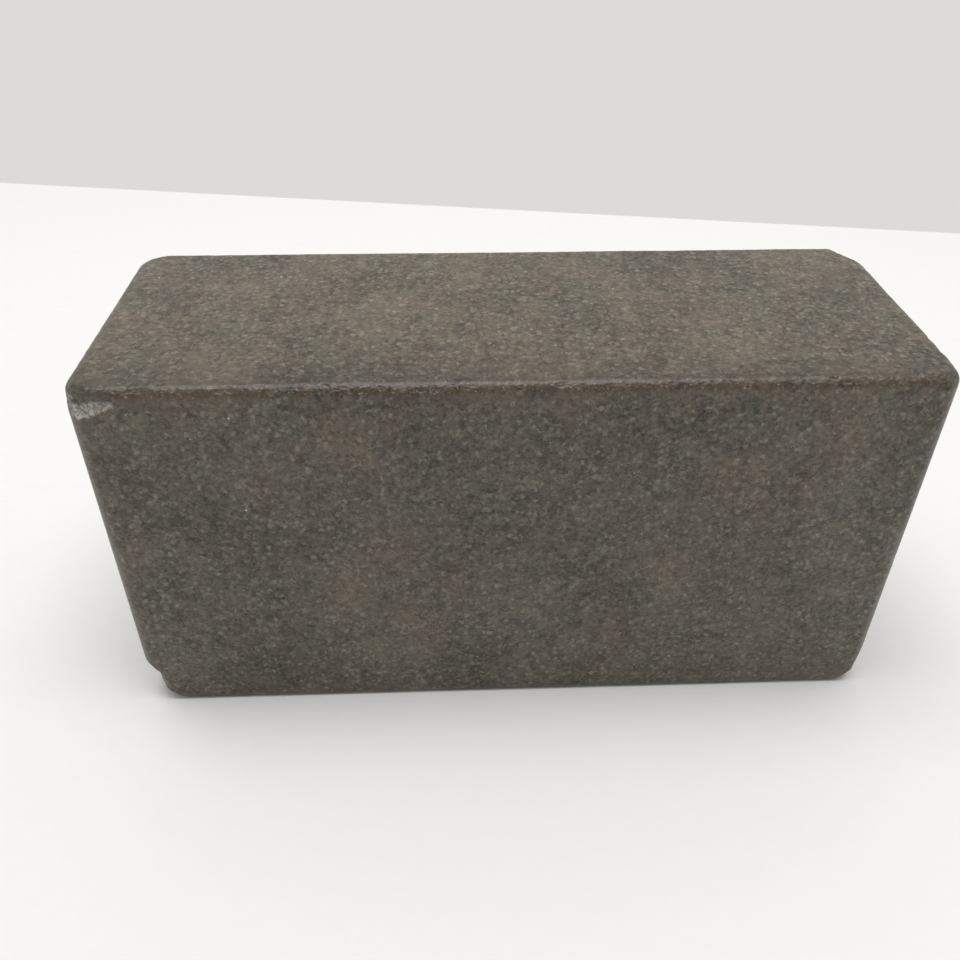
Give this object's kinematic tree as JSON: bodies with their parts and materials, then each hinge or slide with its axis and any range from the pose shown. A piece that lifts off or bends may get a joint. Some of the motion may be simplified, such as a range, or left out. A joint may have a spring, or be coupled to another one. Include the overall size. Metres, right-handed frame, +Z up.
{
  "type": "granite slab",
  "caption": "Thick rectangular block of dark honed granite with eased edges and small worn chips, used as a heavy, flat, hard surface for stamping and tooling leather.",
  "frame": {"origin": "centre of the bounding box on the face that the block rests on", "axes": "+X along the length, +Y along the depth from front to back, +Z up"},
  "size_m": [0.3048, 0.1142, 0.1524],
  "materials": {
    "granite": "honed"
  },
  "bodies": {
    "root": {"granite_slab": "granite"}
  },
  "joints": []
}
